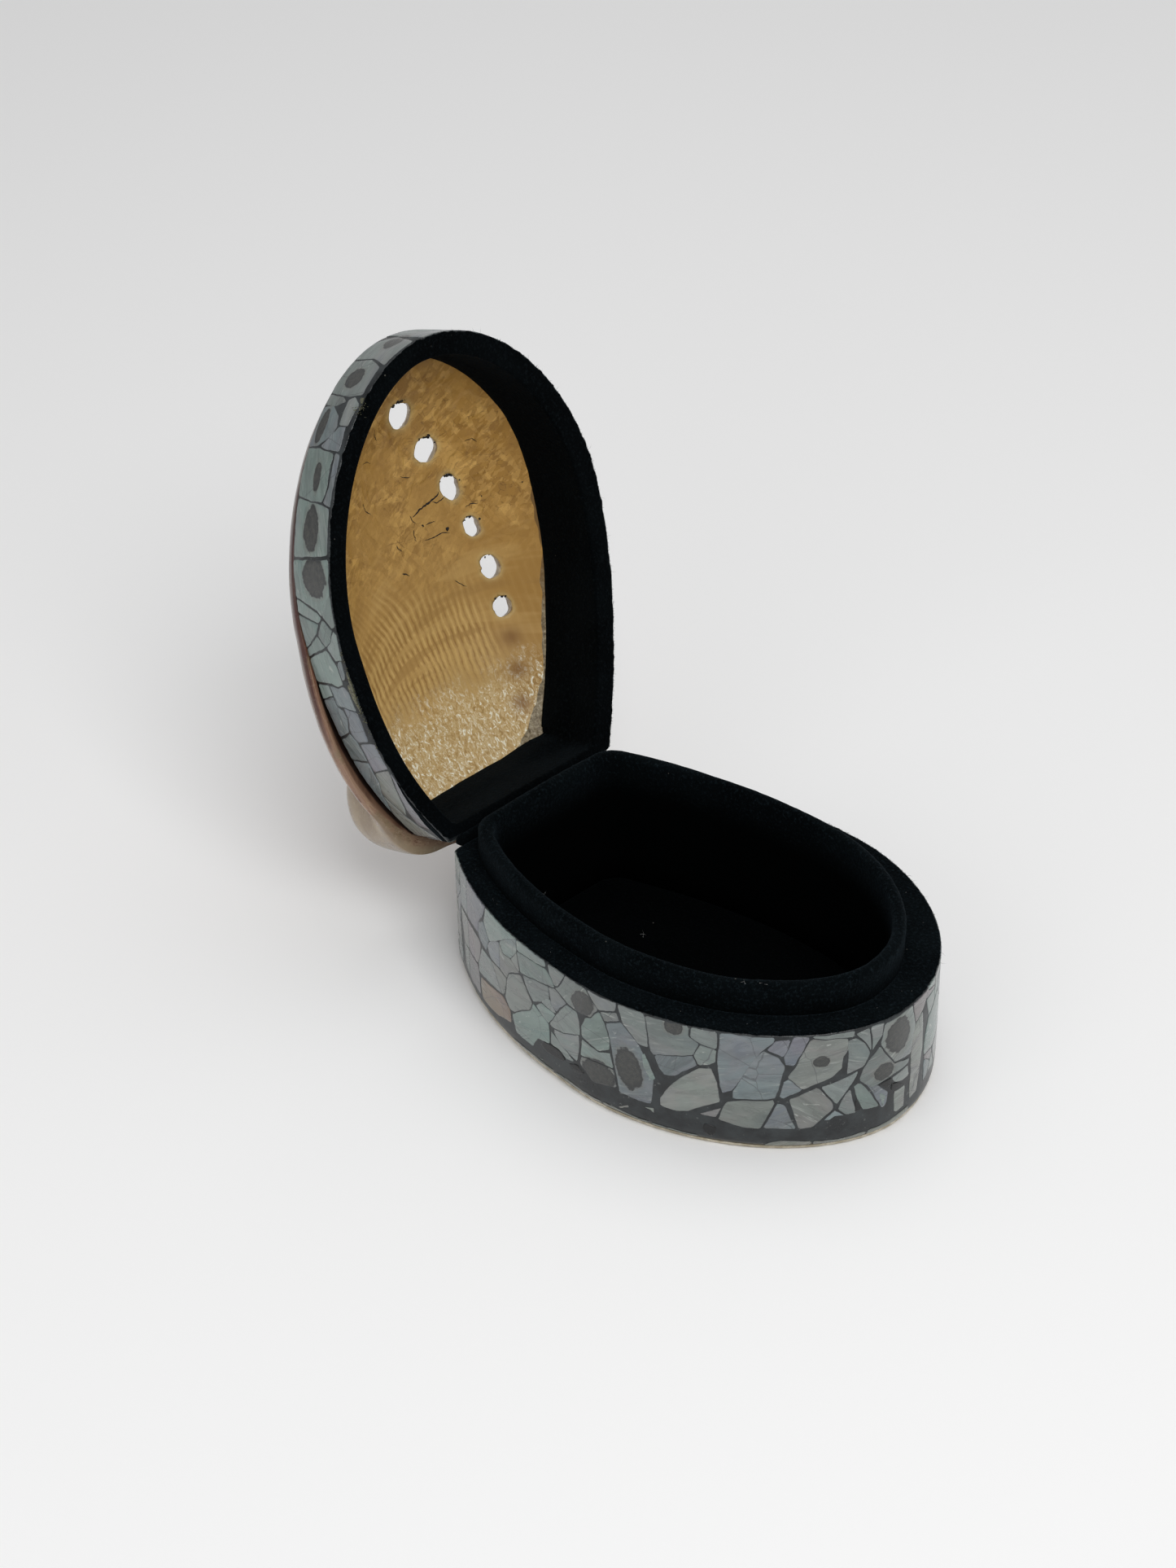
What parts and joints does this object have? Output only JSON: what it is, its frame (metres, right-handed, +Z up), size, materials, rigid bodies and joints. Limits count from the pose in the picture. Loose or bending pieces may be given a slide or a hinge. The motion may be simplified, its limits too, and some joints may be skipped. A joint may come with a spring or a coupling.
{
  "type": "hinged trinket box with a shell lid",
  "caption": "Egg-shaped trinket box clad in mother-of-pearl mosaic, lined with black velvet, with a hinged lid roofed by a polished abalone shell.",
  "frame": {"origin": "middle of the base's flat underside, half way between the hinge end and the tip", "axes": "+X from the hinge end to the rounded tip, +Y to the side away from the shell's spire, +Z up"},
  "size_m": [0.1359, 0.0674, 0.1111],
  "materials": {
    "board": "plain board, covered on every side that is seen",
    "laminate": "thin pale sheet with a satin face",
    "nacre_mosaic": "polished mother-of-pearl chips in dark resin",
    "abalone": "polished shell, golden tan inside",
    "velvet": "black velvet pile"
  },
  "bodies": {
    "base": {"base_plate": "laminate", "base_body": "board", "base_mosaic": "nacre_mosaic", "ledge_velvet": "velvet", "collar_velvet": "velvet", "floor_velvet": "velvet", "hinge_velvet": "velvet"},
    "lid": {"lid_frame": "board", "lid_mosaic": "nacre_mosaic", "lid_velvet": "velvet", "lid_shell": "abalone"}
  },
  "joints": [
    {"name": "lid_hinge", "type": "hinge", "parent": "base", "child": "lid", "pos_m": [-0.045, 0, 0.0271], "axis": [0, 1, 0], "range_deg": [0, 110.8]}
  ]
}
